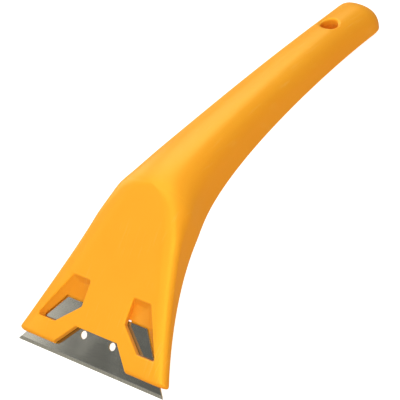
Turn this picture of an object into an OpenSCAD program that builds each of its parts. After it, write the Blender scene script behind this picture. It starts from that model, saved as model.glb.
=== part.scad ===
// Razor blade scraper: a one-piece moulded handle that holds a trapezoid blade.
// The handle is a thin shell, open along its concave underside. Two curved
// rails in the middle plane, one along the top and one along the rim, carry
// its cross-sections. Everything on the head is laid out in the plane of the
// blade: X across, Y from the cutting edge towards the handle, Z square to
// the blade. At the end the whole part is tipped so that it rests on the
// cutting edge and on the tip of the handle.

/* [Blade] */
// Length of the cutting edge
edge_w = 61; // [56:0.5:61.5]
// Width across the back of the blade
back_w = 33; // [28:0.5:36]
// Depth of the blade, from cutting edge to back
blade_d = 18.7; // [17.5:0.1:19]
// Thickness of the blade
blade_t = 0.6; // [0.4:0.05:0.7]
// Width of the ground bevel
bevel_w = 1.5; // [1:0.1:2]
// Diameter of the two holes in the blade
blade_hole_d = 2.7; // [2:0.1:3]
// Distance between the two holes
blade_hole_pitch = 12; // [10:0.5:13]
// Distance from the cutting edge to the holes
blade_hole_in = 9.2; // [8.2:0.1:9.4]

/* [Head] */
// Width of the head at its front
head_w = 60.6; // [60:0.2:66]
// How far the cutting edge stands out of the head
blade_out = 3.6; // [3:0.1:4]
// Height of the top face above the middle of the blade
face_h = 2.6; // [2.4:0.1:3.2]
// Depth of the underside below the middle of the blade
under_h = 1.6; // [1.5:0.1:2.2]
// Width of the soft long edges of the head at the front
edge_w0 = 4; // [3:0.1:4.4]
// Width of the soft long edges of the head at the knee
edge_w1 = 6.9; // [5.5:0.1:7.5]
// Slope at which the soft edges leave the face, in degrees
edge_lean = 12; // [6:1:15]
// Radius of the front edge of the head
front_r = 1; // [0.6:0.1:1.3]
// Width of the tongue between the two windows
tongue_w = 18.1; // [16:0.1:19]
// Width of the front notch at its mouth
notch_w = 30.3; // [28:0.1:31]
// Distance from the cutting edge to the bottom of the notch
notch_in = 11; // [10.6:0.1:11.6]
// Distance from the cutting edge to the front of the windows
window_in = 10.1; // [9.6:0.1:10.6]
// Distance from the cutting edge to where the window wall turns
window_turn = 17.5; // [16.6:0.1:18]
// Distance from the cutting edge to the back of the windows
window_back = 26.3; // [25:0.1:27]
// Half distance between the inner front corners of the windows
window_near = 17.3; // [16.8:0.1:18]
// Half distance between the outer front corners of the windows
window_far = 24.6; // [23:0.1:25]
// Half distance between the outer back corners of the windows
window_top = 16; // [14:0.1:17]
// Radius of the corners of the windows and the notch
corner_r = 0.5; // [0.3:0.1:0.8]

/* [Handle] */
// Distance along the blade plane from the cutting edge to the knee
knee_in = 62.1; // [59:0.1:65]
// Distance along the blade plane from the cutting edge to the neck of the rim
neck_in = 51.6; // [49.6:0.1:53.6]
// Drop of the rim below the blade plane at the neck
neck_drop = 14; // [13:0.1:15]
// Slope of the rim at the neck, in degrees
neck_turn = 24.7; // [22:0.1:28]
// Distance along the blade plane from the cutting edge to the end of the rim
rim_in = 131.1; // [126:0.1:136]
// Drop of the rim below the blade plane at its end
rim_drop = 86.2; // [82:0.2:88]
// Slope of the handle at its end, in degrees
bend = 50.8; // [49:0.2:53]
// Thickness of the grip at its end, from rim to crest
grip_h = 10.4; // [9.4:0.1:11]
// Width of the handle at the knee
knee_w = 29.6; // [28:0.1:31]
// Slope of the crest just behind the knee, in degrees
knee_turn = 17; // [14:0.5:20]
// Width of the grip
grip_w = 15.4; // [14.5:0.1:17]
// Height of the rounded crown of the grip
crown_h = 8.5; // [7.5:0.1:9]
// Length of the rounded end of the handle
tip_l = 7.6; // [6:0.1:9]
// Radius of the outer edge of the rim
rim_r = 1.1; // [0.8:0.1:1.2]
// Wall of the moulding
wall = 2.1; // [1.8:0.1:2.1]
// Thickness of the ribs inside the handle
rib_t = 1.4; // [1:0.1:2]
// How far the ribs stay back from the rim
rib_back = 1.2; // [0.6:0.1:2]
// Number of cross ribs
rib_count = 6; // [4:1:7]
// Diameter of the hang hole
hang_d = 6; // [4:0.1:6.4]
// Distance from the end of the handle to the hang hole
hang_in = 16.2; // [15:0.1:24]
// Wall of the sleeve round the hang hole
sleeve_t = 1.4; // [1:0.1:1.6]

/* [Fits] */
// Clearance above and below the blade in its slot
slot_gap = 0.15; // [0.1:0.01:0.2]
// Clearance behind the blade
back_gap = 0.5; // [0.3:0.05:0.6]
// Clearance beside the blade
side_gap = 0.3; // [0.2:0.05:0.4]

/* [Hidden] */
handle_colour = "#fbb034";
blade_colour = "#73746f";
// Overrun of every cut
over = 1;
// Steps along the head, along the grip, round the tip, and in a corner
head_steps = 24;
grip_steps = 28;
tip_steps = 9;
front_steps = 3;
corner_steps = 8;
rim_steps = 3;
// Reach of the rails' curves at their ends, as shares of the length they span
even_share = 1/3;
crest_start_share = 0.075;
crest_end_share = 0.4;
rim_start_share = 0.205;
rim_end_share = 0.267;
// Where the flat face starts to close into an arch, along the head
arch_share = 0.735;
// How far past that the crown takes to round off fully, and its share of the height
crown_run_share = 0.4;
crown_share = 0.8;
// How quickly the arch closes, and the height of the soft edges beside their width
arch_power = 2.4;
edge_share = 0.6;
// Roundness of the sections' corners, how much crisper the edge of the arch and
// longer the soft edges are, and how much fuller the sides of the grip and
// shorter those of the head are
round_share = 0.55;
crisp_share = 0.3;
long_share = 0.15;
full_share = 0.24;
short_share = 0.1;
// Reach over which the sections ease into each other at the knee, and where it starts
ease_share = 0.045;
ease_from_share = 0.1;
// Fall of the top face from the front to the knee
face_fall_share = 0.96;
// How fast the sides of the head draw in at the front and at the knee
flare_share = 0.377;
flare_end_share = 0.157;
// Where the sides of the grip head for just after the knee
waist_share = 0.98;
// Roundness of the tip seen from above, and the last slice of it
tip_power = 2.8;
tip_last_share = 0.985;
// Narrow flat that stays along the crest of the grip
crest_flat_share = 0.03;
// Step along a rail that its direction is read from
nudge_share = 0.01;
// Places of the first and last cross ribs along the handle
rib_first_share = 0.37;
rib_last_share = 0.84;
// Draw of the lower plates from the tongue
plate_draw_share = 0.025;

// Levels of the slot, measured from the middle of the blade
slot_top = blade_t/2 + slot_gap;
slot_low = -blade_t/2 - slot_gap;
ledge_y = blade_d + back_gap;
head_l = knee_in - blade_out;
knee_fall = face_h*face_fall_share;

// Curve tools
function along(a) = [cos(a), -sin(a)];
function bez(p, q, r, s, t) =
    pow(1 - t, 3)*p + 3*t*pow(1 - t, 2)*q + 3*t*t*(1 - t)*r + pow(t, 3)*s;

// Ends of the two rails
crest_0 = [blade_out, face_h];
crest_1 = [knee_in, face_h - knee_fall];
rim_0 = [blade_out, -under_h];
rim_1 = [neck_in, -neck_drop];
rim_2 = [rim_in, -rim_drop];
up_2 = [sin(bend), cos(bend)];
crest_2 = rim_2 + grip_h*up_2;
grip_span = norm(crest_2 - crest_1);
rim_span = norm(rim_2 - rim_1);
neck_l = neck_in - blade_out;

function crest_at(t) = t <= 1
    ? bez(crest_0, crest_0 + head_l*even_share*along(0),
          crest_1 - head_l*even_share*along(0), crest_1, t)
    : bez(crest_1, crest_1 + grip_span*crest_start_share*along(knee_turn),
          crest_2 - grip_span*crest_end_share*along(bend), crest_2, t - 1);
function rim_at(t) = t <= 1
    ? bez(rim_0, rim_0 + neck_l*even_share*along(0),
          rim_1 - neck_l*even_share*along(neck_turn), rim_1, t)
    : bez(rim_1, rim_1 + rim_span*rim_start_share*along(neck_turn),
          rim_2 - rim_span*rim_end_share*along(bend), rim_2, t - 1);
function half_at(t) = t <= 1
    ? bez(head_w/2, head_w/2 - (head_w - knee_w)/2*flare_share,
          knee_w/2 + (head_w - knee_w)/2*flare_end_share, knee_w/2, t)
    : bez(knee_w/2, grip_w/2*waist_share, grip_w/2, grip_w/2, t - 1);

// How far the arch has closed over the flat face, and how far the crown has
// rounded off behind it, both from 0 to 1
function closed_at(t) = max(0, min(1, (t - arch_share)/(1 - arch_share)));
function rounded_at(t) = 1 - pow(1 - max(0, min(1, (t - arch_share)/crown_run_share)), 2);

// How much a quarter round of radius r takes off at a distance d from the edge
function round_off(d, r) = d >= r ? 0 : r - sqrt(r*r - pow(r - d, 2));

// One cross-section: [rim point, up, half width, height, corner width,
// corner height, roundness where the corner meets the flat and at the side,
// slope where the corner meets the flat]
function slice(t, skin) =
    let (q = t > ease_from_share ? ease_share : 0,
         c = (crest_at(t - q) + 2*crest_at(t) + crest_at(t + q))/4,
         half = (half_at(t - q) + 2*half_at(t) + half_at(t + q))/4,
         r = rim_at(t), f = sqrt(1 - pow(closed_at(t), arch_power)), k = rounded_at(t),
         cut = skin == 0 ? round_off(max(0, c[0] - blade_out), front_r) : 0,
         h = norm(c - r) - cut - skin,
         w = half - cut - skin,
         soft = edge_w0 + (edge_w1 - edge_w0)*min(t, 1),
         e = max(soft*edge_share - skin, edge_w0*edge_share/4),
         crown = max(min(h*crown_share, crown_h) - skin, e),
         flat = max((half - soft)*f, grip_w*crest_flat_share))
    [r, (c - r)/norm(c - r), w, h, w - flat,
     min(h*0.95, sqrt(e*e + (crown*crown - e*e)*k*k)),
     round_share + long_share*f - crisp_share*4*f*(1 - f),
     round_share + full_share*k - short_share*f, edge_lean*f];
function tip_slice(s, skin) =
    let (g = slice(2, skin), k = pow(1 - pow(s, tip_power), 1/tip_power),
         m = sqrt(1 - s*s))
    [g[0] + (tip_l - skin)*s*along(bend), g[1], g[2]*k, g[3]*m, g[4]*k, g[5]*m, g[6], g[7], g[8]];

// Outline of a cross-section, as points across and up. The outer skin has a
// rounded rim; the inner one runs on past the rim, to leave the shell open.
function outline(s, low) =
    let (r = min(rim_r, (s[3] - s[5])*0.6, s[2]/2),
         a = [s[2], s[3] - s[5]], b = [s[2] - s[4], s[3]],
         right = concat(
            low > 0 ? [[s[2], -low]] : [for (k = [0:rim_steps]) let (q = 90*k/rim_steps)
                [s[2] - r + r*sin(q), r - r*cos(q)]],
            [for (k = [0:corner_steps]) bez(a, a + [0, s[5]*s[7]],
                b + s[4]*s[6]*[1, -tan(s[8])], b, k/corner_steps)]))
    concat(right, [for (k = [len(right) - 1:-1:0]) [-right[k][0], right[k][1]]]);
function seated(s, p) = [p[0], s[0][0] + s[1][0]*p[1], s[0][1] + s[1][1]*p[1]];

front_t = [for (k = [0:front_steps - 1])
    front_r*(1 - cos(90*k/front_steps))/head_l];
head_t = [for (k = [0:head_steps - 1])
    front_r/head_l + (1 - front_r/head_l)*k/head_steps];
grip_t = [for (k = [0:grip_steps]) 1 + pow(k/grip_steps, 1.2)];
tip_s = [for (k = [1:tip_steps]) sin(90*k/tip_steps)*tip_last_share];
outer_slices = concat([for (t = concat(front_t, head_t, grip_t)) slice(t, 0)],
    [for (s = tip_s) tip_slice(s, 0)]);
inner_slices = concat([slice_moved(slice(0, wall), -over)],
    [for (t = concat(head_t, grip_t)) slice(t, wall)],
    [for (s = tip_s) tip_slice(s, wall)]);
function slice_moved(s, d) = concat([s[0] + [d, 0]], [for (k = [1:len(s) - 1]) s[k]]);

// A closed skin through a list of cross-sections
module loft(slices, low) {
    n = len(outline(slices[0], low));
    m = len(slices);
    pts = [for (s = slices) for (p = outline(s, low)) seated(s, p)];
    polyhedron(points = pts, faces = concat(
        [[for (j = [n - 1:-1:0]) j]],
        [for (i = [0:m - 2]) for (j = [0:n - 1]) [i*n + j, (i + 1)*n + (j + 1)%n, (i + 1)*n + j]],
        [for (i = [0:m - 2]) for (j = [0:n - 1]) [i*n + j, i*n + (j + 1)%n, (i + 1)*n + (j + 1)%n]],
        [[for (j = [0:n - 1]) (m - 1)*n + j]]));
}

// Tip of the rim, and the tilt that sets it and the cutting edge on the ground
tip_pt = rim_2 + tip_l*tip_last_share*along(bend);
pitch = atan2(-tip_pt[1], tip_pt[0]);
far_y = max([for (s = outer_slices) for (p = outline(s, 0)) let (q = seated(s, p))
    q[1]*cos(pitch) - q[2]*sin(pitch)]);
module settled() translate([0, -far_y/2, 0]) rotate([pitch, 0, 0]) children();

// The hang hole stands square to the crest, at a distance from the end
hang_t = 2 - (hang_in - tip_l)/(3*rim_end_share*rim_span);
hang_top = crest_at(hang_t);
hang_run = crest_at(hang_t + nudge_share) - crest_at(hang_t - nudge_share);
hang_turn = atan2(-hang_run[1], hang_run[0]);
hang_deep = (hang_top - rim_at(hang_t))*[sin(hang_turn), cos(hang_turn)];
module at_hang() translate([0, hang_top[0], hang_top[1]])
    rotate([-hang_turn, 0, 0]) translate([0, 0, -hang_deep]) children();
module at_slice(s) translate([0, s[0][0], s[0][1]])
    rotate([-atan2(s[1][0], s[1][1]), 0, 0]) children();

module window_shape() offset(r = corner_r) offset(delta = -corner_r)
    polygon([[tongue_w/2, window_back], [tongue_w/2, window_turn],
        [window_near, window_in], [window_far, window_in], [window_top, window_back]]);
module notch_shape() polygon([[-notch_w/2, blade_out], [-tongue_w/2, notch_in],
    [tongue_w/2, notch_in], [notch_w/2, blade_out],
    [notch_w/2, -over], [-notch_w/2, -over]]);

// The slot itself, open at the front
module slot_shape() polygon([[-edge_w/2 - side_gap, -over], [edge_w/2 + side_gap, -over],
    [edge_w/2 + side_gap, 0], [back_w/2 + side_gap, ledge_y],
    [-back_w/2 - side_gap, ledge_y], [-edge_w/2 - side_gap, 0]]);

// Plates under the windows that the blade lies on, and the ledges behind it
module plates() for (side = [0, 1]) mirror([side, 0, 0]) {
    translate([tongue_w*(1/2 + plate_draw_share), window_in - wall/2, -under_h])
        cube([head_w, ledge_y + wall - window_in, under_h + slot_low]);
    translate([tongue_w/2 - wall/2, ledge_y, -under_h])
        cube([head_w, window_back + wall/2 - ledge_y, under_h + slot_top]);
}

// Ribs inside the grip, and the sleeve round the hang hole
module ribs() {
    for (k = [0:rib_count - 1]) {
        s = slice(2*(rib_first_share + (rib_last_share - rib_first_share)*k/(rib_count - 1)), 0);
        at_slice(s) translate([-head_w/2, -rib_t/2, rib_back]) cube([head_w, rib_t, s[3]]);
    }
    spine = [for (t = [rib_first_share*2:0.05:2]) slice(t, 0)];
    rotate([90, 0, 90]) linear_extrude(rib_t, center = true) polygon(concat(
        [for (s = spine) s[0] + rib_back*s[1]],
        [for (k = [len(spine) - 1:-1:0]) spine[k][0] + (spine[k][3] - wall/2)*spine[k][1]]));
    at_hang() translate([0, 0, rib_back])
        cylinder(d = hang_d + 2*sleeve_t, h = hang_deep - rib_back - wall/2, $fn = 40);
}

module handle() color(handle_colour) settled() difference() {
    loft(outer_slices, 0);
    difference() {
        loft(inner_slices, over);
        plates();
        ribs();
    }
    for (side = [0, 1]) mirror([side, 0, 0]) translate([0, 0, slot_top - over/4])
        linear_extrude(face_h + over) window_shape();
    translate([0, 0, -under_h - over]) linear_extrude(under_h + face_h + 2*over) notch_shape();
    translate([0, 0, slot_low]) linear_extrude(slot_top - slot_low) slot_shape();
    at_hang() translate([0, 0, -over])
        cylinder(d = hang_d, h = hang_deep + 2*over, $fn = 48);
}

module blade() color(blade_colour) settled() difference() {
    intersection() {
        translate([0, 0, -blade_t]) linear_extrude(2*blade_t) polygon([[-edge_w/2, 0],
            [edge_w/2, 0], [back_w/2, blade_d], [-back_w/2, blade_d]]);
        rotate([90, 0, 90]) linear_extrude(edge_w, center = true) polygon([[0, 0],
            [bevel_w, -blade_t/2], [blade_d, -blade_t/2], [blade_d, blade_t/2],
            [bevel_w, blade_t/2]]);
    }
    for (side = [-1, 1]) translate([side*blade_hole_pitch/2, blade_hole_in, -blade_t])
        cylinder(d = blade_hole_d, h = 2*blade_t, $fn = 32);
}

handle();
blade();
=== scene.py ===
# Razor blade scraper: a moulded handle of yellow-orange plastic that holds a
# trapezoid blade. It lies on its cutting edge and on the tip of its handle.
import math

import bmesh
import bpy
from mathutils import Matrix, Vector


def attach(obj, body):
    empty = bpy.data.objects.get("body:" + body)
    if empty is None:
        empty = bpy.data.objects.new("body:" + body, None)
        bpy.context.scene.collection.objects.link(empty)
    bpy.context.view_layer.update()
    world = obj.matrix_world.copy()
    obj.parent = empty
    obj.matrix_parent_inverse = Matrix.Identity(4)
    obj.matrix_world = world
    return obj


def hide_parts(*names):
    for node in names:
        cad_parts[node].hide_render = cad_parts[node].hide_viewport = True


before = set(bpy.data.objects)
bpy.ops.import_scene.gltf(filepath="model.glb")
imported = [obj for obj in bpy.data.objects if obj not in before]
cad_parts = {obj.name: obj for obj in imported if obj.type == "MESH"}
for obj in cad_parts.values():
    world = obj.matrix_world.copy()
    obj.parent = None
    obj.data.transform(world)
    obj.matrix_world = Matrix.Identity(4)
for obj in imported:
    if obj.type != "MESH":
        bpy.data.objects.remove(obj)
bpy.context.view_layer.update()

# ---------------------------------------------------------------------------
# Studio: a camera at the photograph's angle, white paper whose rim curves up
# all round, soft lights, and a dim room for the sides of the handle to mirror.
# ---------------------------------------------------------------------------
bpy.ops.object.select_all(action="DESELECT")


def colour(hex_code):
    """An sRGB hex colour as the linear values that a shader takes."""
    parts = [int(hex_code[i:i + 2], 16) / 255 for i in (1, 3, 5)]
    return [p / 12.92 if p <= 0.04045 else ((p + 0.055) / 1.055) ** 2.4 for p in parts] + [1.0]


def add_node(tree, kind, settings=(), **links):
    """Adds a node. A setting goes to the socket of that name or number, or else to the node's
    own property. A link goes to the socket of that name, or to a numbered one as i0 or i1."""
    made = tree.nodes.new(kind)
    for name, value in dict(settings).items():
        if name in made.inputs.keys():
            made.inputs[name].default_value = value
        elif name.isdigit():
            made.inputs[int(name)].default_value = value
        else:
            setattr(made, name, value)
    for name, output in links.items():
        key = int(name[1:]) if name[0] == "i" and name[1:].isdigit() else name.replace("_", " ")
        tree.links.new(output, made.inputs[key])
    return made


def new_material(name, **constants):
    """A material whose shader has some constant values, with its node tree and its shader."""
    made = bpy.data.materials.new(name)
    made.use_nodes = True
    principled = made.node_tree.nodes["Principled BSDF"]
    for socket, value in constants.items():
        principled.inputs[socket.replace("_", " ")].default_value = value
    return made, made.node_tree, principled


bpy.ops.object.camera_add(location=(0.43551, -0.34638, 0.55428),
                          rotation=[math.radians(a) for a in (42.793, 15.9879, 36.2156)])
camera = bpy.context.object
camera.name = "camera"
camera.data.lens = 212.65
camera.data.sensor_width = 36
camera.data.clip_start = 0.05
bpy.context.scene.camera = camera
bpy.context.scene.view_settings.view_transform = "Standard"

# The paper is a disc. Its rim turns up through a quarter circle in nine steps
# and then runs straight up, so that low views see it behind the scraper too.
FLOOR_R, RIM_R, RIM_STEPS, RIM_WALL = 1.6, 0.5, 9, 1.2


def rim_place(step):
    """The height and the radius of the paper's rim after some steps of its quarter circle."""
    angle = math.radians(90 * step / RIM_STEPS)
    return RIM_R * (1 - math.cos(angle)), FLOOR_R + RIM_R * math.sin(angle)


bpy.ops.mesh.primitive_circle_add(vertices=96, radius=FLOOR_R, fill_type="NGON")
floor = bpy.context.object
floor.name = "floor"
bpy.ops.object.mode_set(mode="EDIT")
bpy.ops.mesh.select_mode(type="EDGE")
bpy.ops.mesh.select_all(action="SELECT")
for k in range(RIM_STEPS):
    (height, radius), (next_height, next_radius) = rim_place(k), rim_place(k + 1)
    bpy.ops.mesh.extrude_edges_move(
        TRANSFORM_OT_translate={"value": (0, 0, next_height - height)})
    bpy.ops.transform.resize(value=(next_radius / radius, next_radius / radius, 1))
bpy.ops.mesh.extrude_edges_move(TRANSFORM_OT_translate={"value": (0, 0, RIM_WALL)})
bpy.ops.object.mode_set(mode="OBJECT")
# The paper glows, so that it is the photo's even white from the middle to its rim.
floor_paper = new_material("white studio paper", Base_Color=colour("#A9A9A7"), Roughness=0.9,
                           Emission_Color=colour("#FFFDF8"), Emission_Strength=1.0)[0]
floor.data.materials.append(floor_paper)
# The glossy sides of the handle and the blade are to mirror the dim room, as they
# do in the photo, so the paper is left out of reflections, bounced light and shadow.
floor.visible_glossy = floor.visible_diffuse = floor.visible_shadow = False

# The room is grey above the horizon and a dim warm tan below it.
world = bpy.data.worlds.new("dim room")
bpy.context.scene.world = world
world.use_nodes = True
tree = world.node_tree
looking = add_node(tree, "ShaderNodeTexCoord")
split = add_node(tree, "ShaderNodeSeparateXYZ", Vector=looking.outputs["Generated"])
above = add_node(tree, "ShaderNodeMapRange", {"From Min": -0.04, "From Max": 0.0},
                 Value=split.outputs["Z"])
glow = add_node(tree, "ShaderNodeMix",
                {"data_type": "RGBA", "6": colour("#E0B880"), "7": colour("#8F8E8A")},
                Factor=above.outputs["Result"])
tree.links.new(glow.outputs[2], tree.nodes["Background"].inputs["Color"])

# Top, key and front light the faces, the two fills warm the sides, and the two
# cards stand where the blade mirrors them, which gives it its brighter left end.
SCRAPER, BLADE_END = (0, 0, 0.02), (-0.01, -0.08, 0.0)
for name, place, aim, size, watts, tone in (
        ("top light", (-0.3, 0.1, 1.0), SCRAPER, 0.95, 4.95, "#FFFFFF"),
        ("key light", (-0.55, 0.8, 0.75), SCRAPER, 0.7, 3.0, "#FFFFFF"),
        ("front light", (0.21, -0.58, 1.0), SCRAPER, 0.42, 3.35, "#FFFFFF"),
        ("right fill", (0.76, -0.54, 0.34), SCRAPER, 0.9, 4.4, "#FFF4E2"),
        ("left fill", (-0.9, 0.25, 0.3), SCRAPER, 0.7, 2.0, "#FFF4DE"),
        ("left card", (-0.878, -0.587, 0.547), BLADE_END, 0.5, 1.04, "#FFF8EF"),
        ("low card", (-0.69, -1.0, 0.38), BLADE_END, 0.4, 0.22, "#FFF8EF")):
    bpy.ops.object.light_add(type="AREA", location=place)
    lamp = bpy.context.object
    lamp.name = name
    lamp.data.shape = "DISK"
    lamp.data.size = size
    lamp.data.energy = watts
    lamp.data.color = colour(tone)[:3]
    lamp.rotation_euler = (Vector(place) - Vector(aim)).to_track_quat("Z", "Y").to_euler()

# ---------------------------------------------------------------------------
# Handle: one piece of polypropylene, injection moulded as a thin shell that is
# open below, with ribs inside, a flat head with two windows and a notch, and a
# hang hole. It pinches the blade between the face of the head and two plates.
# ---------------------------------------------------------------------------
# Two rails in its middle plane carry its sections. It is drawn in the plane of
# the blade, in millimetres, and tipped into place at the end.
MM = 0.001
TILT = math.radians(34.1106)
HALF_LENGTH = 82.37

# Sizes: y runs back from the cutting edge and z up from the blade's middle. The
# head starts blade_out behind the edge, and lies from under_h below that middle
# to face_h above it. The crest has its knee, and the rim its neck, further back.
head_w, knee_w, grip_w = 62.0, 30.0, 15.8
blade_out, face_h, under_h = 3.2, 2.6, 1.6
knee_in, knee_z, knee_slope = 62.1, 0.5, 17
neck_in, neck_z, neck_slope = 51.6, -14, 24.7
end_in, end_z, end_slope, end_h = 131.1, -86.2, 50.8, 10.4
wall, front_r, rim_r, tip_l = 2.1, 1.5, 1.1, 7.6
plan_cut = 1.25  # how much more the front's rounding takes off the sides than off the face
# The corner between the face and the sides: its width at the front and what it
# gains by the knee, its least height, the height of the crown of the grip, and
# the half width of the flat that is left on that crown, as a share of the grip.
corner_w, corner_gain, edge_min, crown_h, crown_flat = 4, 2.9, 0.6, 8.5, 0.03
# Places along the handle: 0 at the front of the head, 1 at the knee, 2 at the
# end of the grip. The arch closes on the flat face between arch_from and arch_to.
arch_from, arch_to, knee_ease, arch_ease = 0.735, 1.005, 0.06, 0.035
# How far the ends of the curves pull along their slopes, as shares of the length
# of each rail or of what the width loses, and the share that rounds a corner.
knee_pull, crest_pull, neck_pull, rim_pull = 0.075, 0.4, 0.205, 0.267
flare, flare_end, grip_draw, QUARTER = 0.392, 0.157, 0.98, 0.55


def limited(value):
    """Keeps a value between 0 and 1."""
    return max(0.0, min(1.0, value))


def along(degrees):
    """The direction back along a rail that slopes down by some degrees."""
    return Vector((math.cos(math.radians(degrees)), -math.sin(math.radians(degrees))))


def square_to(degrees):
    """The direction up from a rail that slopes down by some degrees."""
    return Vector((math.sin(math.radians(degrees)), math.cos(math.radians(degrees))))


def bez(p, q, r, s, t):
    """The point at t, or the value there, on a Bezier curve."""
    return (1 - t) ** 3 * p + 3 * t * (1 - t) ** 2 * q + 3 * t * t * (1 - t) * r + t ** 3 * s


crest_0, crest_1 = Vector((blade_out, face_h)), Vector((knee_in, knee_z))
rim_0, rim_1 = Vector((blade_out, -under_h)), Vector((neck_in, neck_z))
rim_2 = Vector((end_in, end_z))
crest_2 = rim_2 + end_h * square_to(end_slope)
head_l, neck_l = knee_in - blade_out, neck_in - blade_out
grip_l, rim_l = (crest_2 - crest_1).length, (rim_2 - rim_1).length


def crest_at(t):
    """The upper rail: level over the head, then bent down over the knee."""
    if t <= 1:
        return bez(crest_0, crest_0 + head_l / 3 * along(0),
                   crest_1 - head_l / 3 * along(0), crest_1, t)
    return bez(crest_1, crest_1 + grip_l * knee_pull * along(knee_slope),
               crest_2 - grip_l * crest_pull * along(end_slope), crest_2, t - 1)


def rim_at(t):
    """The lower rail, along the open edge of the shell."""
    if t <= 1:
        return bez(rim_0, rim_0 + neck_l / 3 * along(0),
                   rim_1 - neck_l / 3 * along(neck_slope), rim_1, t)
    return bez(rim_1, rim_1 + rim_l * neck_pull * along(neck_slope),
               rim_2 - rim_l * rim_pull * along(end_slope), rim_2, t - 1)


def half_at(t):
    """Half the width: it flares out to the front of the head and is even along the grip."""
    draw_in = (head_w - knee_w) / 2
    if t <= 1:
        return bez(head_w / 2, head_w / 2 - draw_in * flare,
                   knee_w / 2 + draw_in * flare_end, knee_w / 2, t)
    return bez(knee_w / 2, grip_w / 2 * grip_draw, grip_w / 2, grip_w / 2, t - 1)


def closing(t):
    """The share of the head's flat width that is left where the arch closes on it."""
    return math.sqrt(1 - limited((t - arch_from) / (arch_to - arch_from)) ** 2.4)


def turning(t, start, end):
    """Goes smoothly from 0 at one place along the handle to 1 at another."""
    k = limited((t - start) / (end - start))
    return k * k * (3 - 2 * k)


def eased(curve, t, reach):
    """A curve's mean round a place along the handle, which rounds off its corners."""
    total = 3 * curve(t)
    for step, share in ((reach, 1), (reach / 2, 2)):
        total += share * (curve(t - step) + curve(t + step))
    return total / 9


def section(t, skin=0.0):
    """The section at a place along the handle, or one that lies a skin inside it: rim point,
    direction up, half width, height, corner width and height, how round the corner is where it
    meets the flat and at the side, and its slope where it meets the flat."""
    ease = knee_ease if t > 0.1 else 0
    top, low, half = eased(crest_at, t, ease), rim_at(t), eased(half_at, t, ease)
    flat_share = eased(closing, t, arch_ease)
    rounded_off = 1 - (1 - limited((t - arch_from) / 0.4)) ** 2
    # The front edge of the head is rounded over, and its corners in plan as well.
    to_round = front_r - max(0.0, top.x - blade_out)
    cut = 0
    if not skin and to_round > 0:
        cut = front_r - math.sqrt(max(0.0, front_r ** 2 - to_round ** 2))
    w = half - plan_cut * cut - skin
    h = (top - low).length - cut - skin
    soft = corner_w + corner_gain * min(t, 1)
    edge = max(0.6 * soft - skin, edge_min)
    crown = max(min(0.8 * h, crown_h) - skin, edge)
    flat = max((half - soft) * flat_share, grip_w * crown_flat)
    corner_h = math.sqrt(edge ** 2 + (crown ** 2 - edge ** 2) * rounded_off ** 2)
    # The corner meets the flat at a slope on the head and level on the grip. It is
    # tighter round the arch, and fuller at the side towards the front and the grip.
    head_like = 1 - turning(t, 0.8, 1.06)
    round_arch = turning(t, 0.76, 0.96) * (1 - turning(t, 0.96, 1.3))
    tight = QUARTER + 0.15 * head_like - 0.26 * round_arch
    full = QUARTER + 0.24 * rounded_off + 0.15 * (1 - turning(t, 0, 0.12))
    return [low, (top - low).normalized(), w, h, w - flat, min(h * 0.95, corner_h), tight, full,
            math.radians(12) * head_like]


def tip_section(s, skin=0.0):
    """A section past the end of the grip, where it closes into the rounded tip."""
    low, up, w, h, cw, ch, *corner = section(2, skin)
    k, m = (1 - s ** 2.8) ** (1 / 2.8), math.sqrt(1 - s * s)
    low = low + (tip_l - skin) * s * along(end_slope)
    return [low, up, w * k, h * m, cw * k, ch * m, *corner]


def ring(sec, below=0.0):
    """A section's outline as points in space, from its right rim over the top to its left rim.
    With below, its sides run straight down past the rim, as those of the hollow do."""
    low, up, w, h, cw, ch, tight, full, lean = sec
    r = min(rim_r, (h - ch) * 0.6, w / 2)
    right = [(w, -below)] if below else [
        (w - r + r * math.sin(q), r - r * math.cos(q)) for q in (0, 0.4, 0.8, 1.2, math.pi / 2)]
    right += [(w, right[-1][1] + (h - ch - right[-1][1]) * k / 4) for k in (1, 2, 3)]
    a, b = Vector((w, h - ch)), Vector((w - cw, h))
    from_side = a + Vector((0, ch * full))
    to_flat = b + cw * tight * Vector((1, -math.tan(lean)))
    right += [tuple(bez(a, from_side, to_flat, b, k / 12)) for k in range(13)]
    right += [((w - cw) * (1 - k / 5), h) for k in range(1, 5)]
    outline = right + [(0, h)] + [(-x, z) for x, z in reversed(right)]
    return [Vector((x, low.x + up.x * z, low.y + up.y * z)) * MM for x, z in outline]


def draw_out(name, rings):
    """Lays a disc on the first ring and extrudes it from ring to ring. Each new ring is set
    on its section point by point, because the section changes in form as well as in size."""
    bpy.ops.object.select_all(action="DESELECT")
    bpy.ops.mesh.primitive_circle_add(vertices=len(rings[0]), fill_type="NGON")
    piece = bpy.context.object
    piece.name = name
    bpy.ops.object.mode_set(mode="EDIT")
    mesh = bmesh.from_edit_mesh(piece.data)
    for i, points in enumerate(rings):
        if i:
            bpy.ops.mesh.extrude_region_move()
            mesh = bmesh.from_edit_mesh(piece.data)
        end = [f for f in mesh.faces if f.select][0]
        for vertex, point in zip(end.verts, points):
            vertex.co = point
    bpy.ops.mesh.select_all(action="SELECT")
    bpy.ops.mesh.normals_make_consistent(inside=False)
    bpy.ops.object.mode_set(mode="OBJECT")
    return piece


def take_away(piece, other):
    """Cuts another solid out of the piece, and deletes that solid."""
    bpy.ops.object.select_all(action="DESELECT")
    piece.select_set(True)
    bpy.context.view_layer.objects.active = piece
    step = piece.modifiers.new("difference", "BOOLEAN")
    step.operation, step.object, step.solver = "DIFFERENCE", other, "MANIFOLD"
    bpy.ops.object.modifier_apply(modifier=step.name)
    bpy.data.objects.remove(other)


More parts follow.
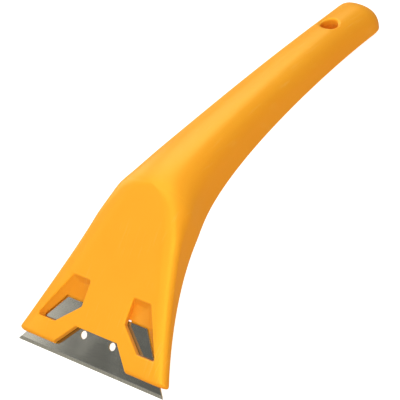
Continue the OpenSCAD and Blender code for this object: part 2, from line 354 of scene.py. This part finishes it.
def block(name, low, high):
    """A rectangular block between two corners, in millimetres in the plane of the blade."""
    low, high = Vector(low) * MM, Vector(high) * MM
    bpy.ops.object.select_all(action="DESELECT")
    bpy.ops.mesh.primitive_cube_add(size=1, location=(low + high) / 2, scale=high - low)
    bpy.ops.object.transform_apply(location=True, rotation=True, scale=True)
    bpy.context.object.name = name
    return bpy.context.object


def cylinder(r, height, centre, vertices):
    """An upright cylinder, in millimetres in the plane of the blade."""
    bpy.ops.object.select_all(action="DESELECT")
    bpy.ops.mesh.primitive_cylinder_add(vertices=vertices, radius=r * MM, depth=height * MM,
                                        location=[c * MM for c in centre])
    bpy.ops.object.transform_apply(location=True, rotation=True, scale=True)
    return bpy.context.object


def stand(piece, low, up):
    """Stands a piece that was made upright at the origin on a rail, along a direction."""
    piece.data.transform(Matrix.Translation((0, low.x * MM, low.y * MM))
                         @ Matrix.Rotation(-math.atan2(up.x, up.y), 4, "X"))
    return piece


# The outer skin, and the hollow a wall's thickness inside it. The hollow starts
# before the front of the head and hangs below the rim, so that it opens both.
front_t = [front_r * (1 - math.cos(math.radians(18 * k))) / head_l for k in range(5)]
head_t = [(front_r + (head_l - front_r) * k / 48) / head_l for k in range(48)]
grip_t = [1 + (k / 56) ** 1.2 for k in range(57)]
tip_s = [math.sin(math.radians(6 * k)) * 0.998 for k in range(1, 16)]
handle = draw_out("handle_shell", [ring(section(t)) for t in front_t + head_t + grip_t]
                  + [ring(tip_section(s)) for s in tip_s])
below_rim = 1.0
mouth = section(0, wall)
mouth[0] = mouth[0] - Vector((1, 0))
hollow = draw_out("hollow", [ring(mouth, below_rim)]
                  + [ring(section(t, wall), below_rim) for t in head_t[::2] + grip_t[::2]]
                  + [ring(tip_section(s, wall), below_rim) for s in tip_s[::2]])

# Inside the hollow stand the plates that the blade lies on, the ledges behind
# it, six cross ribs, a spine and a sleeve round the hang hole. They are taken
# out of the hollow before the hollow is taken out of the handle.
slot_h, past_side = 0.45, 40
for side in (-1, 1):
    for inner, y0, y1, top in ((9.5, 9.05, 21.3, -slot_h), (8.0, 19.2, 27.35, slot_h)):
        x0, x1 = sorted((side * inner, side * past_side))
        take_away(hollow, block("plate", (x0, y0, -under_h), (x1, y1, top)))

rib_half, rib_from, spine_gap = 0.7, 1.2, 1
for k in range(6):
    low, up, _, h = section(2 * (0.37 + 0.47 * k / 5))[:4]
    rib = block("rib", (-30, -rib_half, rib_from), (30, rib_half, h))
    take_away(hollow, stand(rib, low, up))
spine = []
for k in range(26):
    low, up, _, h = section(0.74 + 0.05 * k)[:4]
    corners = ((rib_half, rib_from), (rib_half, h - spine_gap),
               (-rib_half, h - spine_gap), (-rib_half, rib_from))
    spine.append([Vector((x, (low + up * z).x, (low + up * z).y)) * MM for x, z in corners])
take_away(hollow, draw_out("spine", spine))

# The hang hole stands square to the crest. Its cutter is a pin whose top flares
# out over the crown, so that the lip of the hole comes out rounded. The pin's
# rings near the crown bend with it, and its two ends are flat.
hang_top, hang_up = Vector((130.407, -69.11)), square_to(49.705)
hang_r, hang_lip, sleeve_r, sleeve_h, sleeve_z = 3.0, 0.8, 4.4, 8.4, 5.4
sleeve = cylinder(sleeve_r, sleeve_h, (0, 0, sleeve_z), 64)
take_away(hollow, stand(sleeve, hang_top - hang_up * 10.53, hang_up))
take_away(handle, hollow)


def crown_drop(x):
    """How far the crown of the grip lies below its crest, at a distance from the middle."""
    return 6.5 * (1 - math.sqrt(max(0.0, 1 - (x / (grip_w / 2)) ** 2)))


lip_r = hang_r + hang_lip
pin = [(hang_r, -12), (hang_r, -2.2), (hang_r, -hang_lip)]
pin += [(lip_r - hang_lip * math.cos(q), hang_lip * math.sin(q) - hang_lip)
        for q in (0.26, 0.52, 0.79, 1.05, 1.31)]
pin += [(lip_r, 0), (lip_r + 0.3, 0.4), (lip_r + 0.3, 2)]
rings = []
for r, z in pin:
    around = [(r * math.cos(2 * math.pi * k / 96), r * math.sin(2 * math.pi * k / 96))
              for k in range(96)]
    on_crown = -5 < z < 1
    rings.append([Vector((x, y, z - crown_drop(x) if on_crown else z)) * MM for x, y in around])
take_away(handle, stand(draw_out("pin", rings), hang_top, hang_up))


def face_z(y):
    """The height of the head's face at a distance behind the cutting edge."""
    return crest_at(limited((y - blade_out) / head_l)).y


def grown(outline, d):
    """An outline with each side moved out by a distance."""
    out = []
    for i, (x, y) in enumerate(outline):
        (x0, y0), (x1, y1) = outline[i - 1], outline[(i + 1) % len(outline)]
        a, b = Vector((x - x0, y - y0)).normalized(), Vector((x1 - x, y1 - y)).normalized()
        na, nb = Vector((a.y, -a.x)), Vector((b.y, -b.x))
        m = (na + nb) / max(0.2, 1 + na.dot(nb))
        out.append((x + m.x * d, y + m.y * d))
    return out


def flared(name, outline, foot, foot_z, lip=0.45):
    """A cutter that runs from a foot up to an outline on the face of the head, where it
    flares out, so that the opening's lip comes out rounded."""
    levels = [(0, -lip)]
    levels += [(lip - lip * math.cos(q), lip * math.sin(q) - lip) for q in (0.3, 0.6, 0.9, 1.2)]
    levels += [(lip, 0), (lip + 0.2, 0.3)]
    rings = [[Vector((x, y, foot_z)) * MM for x, y in foot]]
    for d, z in levels:
        rings.append([Vector((x, y, face_z(y) + z)) * MM for x, y in grown(outline, d)])
    return draw_out(name, rings)


def rounded(corners, r, steps=5):
    """An outline with its corners rounded, as points going round it."""
    out = []
    for i, (x, y) in enumerate(corners):
        p, (x0, y0), (x1, y1) = Vector((x, y)), corners[i - 1], corners[(i + 1) % len(corners)]
        a, b = (Vector((x0, y0)) - p).normalized(), (Vector((x1, y1)) - p).normalized()
        d = r / math.tan(a.angle(b) / 2)
        for k in range(steps + 1):
            s = k / steps
            curve = (1 - s) ** 2 * (p + a * d) + 2 * s * (1 - s) * p + s * s * (p + b * d)
            out.append(tuple(curve))
    return out


# The windows' walls lean: at its foot each window is shorter than on the face,
# and its outer wall there follows the blade's slanted end.
window = [(9.05, 26.3), (9.05, 17.5), (17.3, 10.1), (24.6, 10.1), (19.6, 19.5), (16.0, 26.3)]
foot = [(9.05, 24.6), (9.05, 17.5), (17.3, 10.1), (23.3, 10.1), (17.0, 18.9), (14.4, 24.6)]
window_r, foot_z = 0.8, 0.2
for side in (-1, 1):
    here, below = window, foot
    if side < 0:
        here, below = [[(-x, y) for x, y in reversed(way)] for way in (window, foot)]
    take_away(handle, flared("window", rounded(here, window_r), rounded(below, window_r), foot_z))
notch = [(-15.15, -3), (15.15, -3), (15.15, 3.6), (8.7, 11.0), (-8.7, 11.0), (-15.15, 3.6)]
take_away(handle, flared("notch", notch, notch, -3, 0.3))
slot = [(-30.8, -1), (30.8, -1), (30.8, 0), (16.8, 19.2), (-16.8, 19.2), (-30.8, 0)]
take_away(handle, draw_out("slot", [[Vector((x, y, z)) * MM for x, y in slot]
                                    for z in (-slot_h, slot_h)]))

# The plastic is coloured polypropylene with a satin face: the mould was lightly
# blasted, so highlights are broad and soft and lean towards yellow, and a little
# light goes in at thin edges. Its grain is drawn at about half a millimetre.
plastic, tree, shader = new_material(
    "moulded polypropylene", IOR=1.49, Specular_IOR_Level=1.0, Specular_Tint=colour("#FFEC4A"),
    Subsurface_Weight=0.06, Subsurface_Radius=(0.004, 0.0016, 0.0004))
where = add_node(tree, "ShaderNodeTexCoord")
flow = add_node(tree, "ShaderNodeTexNoise", {"Scale": 38.0, "Detail": 3.0, "Roughness": 0.5},
                Vector=where.outputs["Object"])
tint = add_node(tree, "ShaderNodeMix",
                {"data_type": "RGBA", "6": colour("#F7A127"), "7": colour("#F9AC2E")},
                Factor=flow.outputs["Fac"])
tint.name = "tint"
grain = add_node(tree, "ShaderNodeTexNoise", {"Scale": 1900.0, "Detail": 2.0},
                 Vector=where.outputs["Object"])
gloss = add_node(tree, "ShaderNodeMapRange",
                 {"From Min": 0.3, "From Max": 0.7, "To Min": 0.32, "To Max": 0.38},
                 Value=flow.outputs["Fac"])
# Wear: where hand and pocket rub the handle, its face has thin pale scuffs about
# 0.7 mm apart, run along it, and they are duller than the rest.
along_it = add_node(tree, "ShaderNodeMapping", {"Scale": (1500.0, 90.0, 90.0)},
                    Vector=where.outputs["Object"])
streaks = add_node(tree, "ShaderNodeTexNoise", {"Scale": 1.0, "Detail": 3.0},
                   Vector=along_it.outputs["Vector"])
streak = add_node(tree, "ShaderNodeMapRange", {"From Min": 0.57, "From Max": 0.72},
                  Value=streaks.outputs["Fac"])
patches = add_node(tree, "ShaderNodeTexNoise", {"Scale": 70.0, "Detail": 2.0},
                   Vector=where.outputs["Object"])
patch = add_node(tree, "ShaderNodeMapRange", {"From Min": 0.5, "From Max": 0.66},
                 Value=patches.outputs["Fac"])
scuff = add_node(tree, "ShaderNodeMath", {"operation": "MULTIPLY"},
                 i0=streak.outputs["Result"], i1=patch.outputs["Result"])
faint = add_node(tree, "ShaderNodeMath", {"operation": "MULTIPLY", "1": 0.3},
                 i0=scuff.outputs["Value"])
worn = add_node(tree, "ShaderNodeMix", {"data_type": "RGBA", "7": colour("#FFC766")},
                Factor=faint.outputs["Value"], i6=tint.outputs[2])
tree.links.new(worn.outputs[2], shader.inputs["Base Color"])
dull = add_node(tree, "ShaderNodeMath", {"operation": "MULTIPLY_ADD", "1": 0.12},
                i0=scuff.outputs["Value"], i2=gloss.outputs["Result"])
tree.links.new(dull.outputs["Value"], shader.inputs["Roughness"])
relief = add_node(tree, "ShaderNodeBump", {"Strength": 0.06, "Distance": 0.0002},
                  Height=grain.outputs["Fac"])
tree.links.new(relief.outputs["Normal"], shader.inputs["Normal"])

# Inside the windows and deep in the hang hole the plastic gets a darker orange:
# painted shade for the shade that falls in these recesses, a step darker than the face.
recess = plastic.copy()
recess.name = "moulded polypropylene with painted shade"
painted_shade_tint = recess.node_tree.nodes["tint"]
# Painted shade: darker oranges for the recess faces, in place of the shade that falls there.
painted_shade_tint.inputs[6].default_value = colour("#EC9124")
painted_shade_tint.inputs[7].default_value = colour("#F09A2A")


def give_finishes(piece, main, second, is_second):
    """Gives a piece its main finish, and a second one to the faces that pass a test. The test
    takes a face and its centre in millimetres, in the plane of the blade."""
    piece.data.materials.clear()
    piece.data.materials.append(main)
    piece.data.materials.append(second)
    for face in piece.data.polygons:
        face.material_index = 1 if is_second(face, face.center / MM) else 0


def finish_piece(piece, name, body, crease):
    """Tips a piece from the plane of the blade into its place, smooths it and hands it over."""
    piece.name = name
    piece.data.transform(Matrix.Translation((0, -HALF_LENGTH * MM, 0))
                         @ Matrix.Rotation(TILT, 4, "X"))
    bpy.ops.object.select_all(action="DESELECT")
    piece.select_set(True)
    bpy.context.view_layer.objects.active = piece
    bpy.ops.object.shade_smooth_by_angle(angle=math.radians(crease))
    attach(piece, body)
    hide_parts(body)


def in_shaded_recess(face, centre):
    """Whether a face is a wall or the floor of a window, or lies deep in the hang hole, and so
    gets the painted shade.
    """
    x, y, z = centre
    beside_tongue = 9 < abs(x) < 30.3 - 0.53 * y and 10 < y < 26.5
    over_hole = Vector((y, z)) - hang_top
    in_bore = math.hypot(x, over_hole.cross(hang_up)) < hang_r + 0.05
    return (beside_tongue and foot_z < z < face_z(y) - 0.4
            or in_bore and over_hole.dot(hang_up) < -3.5)


# The second finish of the handle is the painted recess shade.
give_finishes(handle, plastic, recess, in_shaded_recess)
finish_piece(handle, "handle_shell", "handle", crease=32)

# ---------------------------------------------------------------------------
# Blade: a trapezoid of rolled carbon steel, 0.6 mm thick, ground to an edge
# from both faces and pierced by two holes. It is held between the face of the
# head and the plates under its windows.
# ---------------------------------------------------------------------------
blade_w, back_w, blade_d, blade_t = 61, 33, 18.7, 0.6
ground_w, edge_left, chamfer = 1.05, 0.04, 0.1
blade_hole_r, blade_hole_x, blade_hole_y = 1.35, 6, 9.2
blade = block("blade_steel", (-blade_w / 2, 0, -blade_t / 2), (blade_w / 2, blade_d, blade_t / 2))
bpy.ops.object.mode_set(mode="EDIT")


def pick(test):
    """Selects the vertices, and the edges and faces between them, that pass a test in
    millimetres."""
    bpy.ops.mesh.select_all(action="DESELECT")
    mesh = bmesh.from_edit_mesh(bpy.context.object.data)
    for v in mesh.verts:
        if test(v.co / MM):
            v.select_set(True)
    mesh.select_flush(True)
    bmesh.update_edit_mesh(bpy.context.object.data)


pick(lambda co: co.y > blade_d / 2)
bpy.ops.transform.resize(value=(back_w / blade_w, 1, 1), center_override=(0, 0, 0))
bpy.ops.mesh.select_all(action="SELECT")
bpy.ops.mesh.bisect(plane_co=(0, ground_w * MM, 0), plane_no=(0, 1, 0))
pick(lambda co: co.y < ground_w / 2)
bpy.ops.transform.resize(value=(1, 1, edge_left), center_override=(0, 0, 0))
pick(lambda co: co.y > ground_w / 2)
bpy.ops.mesh.bevel(offset=chamfer * MM, segments=1, affect="EDGES")
bpy.ops.object.mode_set(mode="OBJECT")
for side in (-1, 1):
    take_away(blade, cylinder(blade_hole_r, 2, (side * blade_hole_x, blade_hole_y, 0), 48))

# The faces are bright rolled steel with fine lines along the strip, and smudges
# from handling.
steel, tree, shader = new_material("rolled blade steel", Metallic=1.0)
where = add_node(tree, "ShaderNodeTexCoord")
cloud = add_node(tree, "ShaderNodeTexNoise", {"Scale": 90.0, "Detail": 4.0},
                 Vector=where.outputs["Object"])
tint = add_node(tree, "ShaderNodeMix",
                {"data_type": "RGBA", "6": colour("#989993"), "7": colour("#ADAEA8")},
                Factor=cloud.outputs["Fac"])
tree.links.new(tint.outputs[2], shader.inputs["Base Color"])
stretch = add_node(tree, "ShaderNodeMapping", {"Scale": (60.0, 2600.0, 2600.0)},
                   Vector=where.outputs["Object"])
lines = add_node(tree, "ShaderNodeTexNoise", {"Scale": 1.0, "Detail": 2.0},
                 Vector=stretch.outputs["Vector"])
gloss = add_node(tree, "ShaderNodeMapRange", {"To Min": 0.08, "To Max": 0.13},
                 Value=lines.outputs["Fac"])
smudge = add_node(tree, "ShaderNodeMapRange",
                  {"From Min": 0.5, "From Max": 0.75, "To Min": 0.0, "To Max": 0.04},
                  Value=cloud.outputs["Fac"])
handled = add_node(tree, "ShaderNodeMath", {"operation": "ADD"},
                   i0=gloss.outputs["Result"], i1=smudge.outputs["Result"])
tree.links.new(handled.outputs["Value"], shader.inputs["Roughness"])
relief = add_node(tree, "ShaderNodeBump", {"Strength": 0.12, "Distance": 0.00005},
                  Height=lines.outputs["Fac"])
tree.links.new(relief.outputs["Normal"], shader.inputs["Normal"])

# The ground strip at the edge is duller and crossed by light and dark wheel marks
# on a slant, drawn 0.3 mm apart so that they show. The sheared ends have it too.
ground, tree, shader = new_material("ground blade edge", Metallic=1.0, Roughness=0.3)
where = add_node(tree, "ShaderNodeTexCoord")
turn = add_node(tree, "ShaderNodeMapping",
                {"Rotation": (0.0, 0.0, math.radians(35)), "Scale": (3600.0, 300.0, 300.0)},
                Vector=where.outputs["Object"])
marks = add_node(tree, "ShaderNodeTexNoise", {"Scale": 1.0, "Detail": 3.0},
                 Vector=turn.outputs["Vector"])
tint = add_node(tree, "ShaderNodeMix",
                {"data_type": "RGBA", "6": colour("#888980"), "7": colour("#DADAD0")},
                Factor=marks.outputs["Fac"])
tree.links.new(tint.outputs[2], shader.inputs["Base Color"])
relief = add_node(tree, "ShaderNodeBump", {"Strength": 0.3, "Distance": 0.00005},
                  Height=marks.outputs["Fac"])
tree.links.new(relief.outputs["Normal"], shader.inputs["Normal"])


def is_ground(face, centre):
    """Whether a face of the blade is in the ground strip or is a sheared end."""
    sheared_end = abs(face.normal.x) > 0.4 and abs(centre.x) > 9
    return centre.y < 1 or sheared_end


give_finishes(blade, steel, ground, is_ground)
finish_piece(blade, "blade_plate", "blade", crease=6)
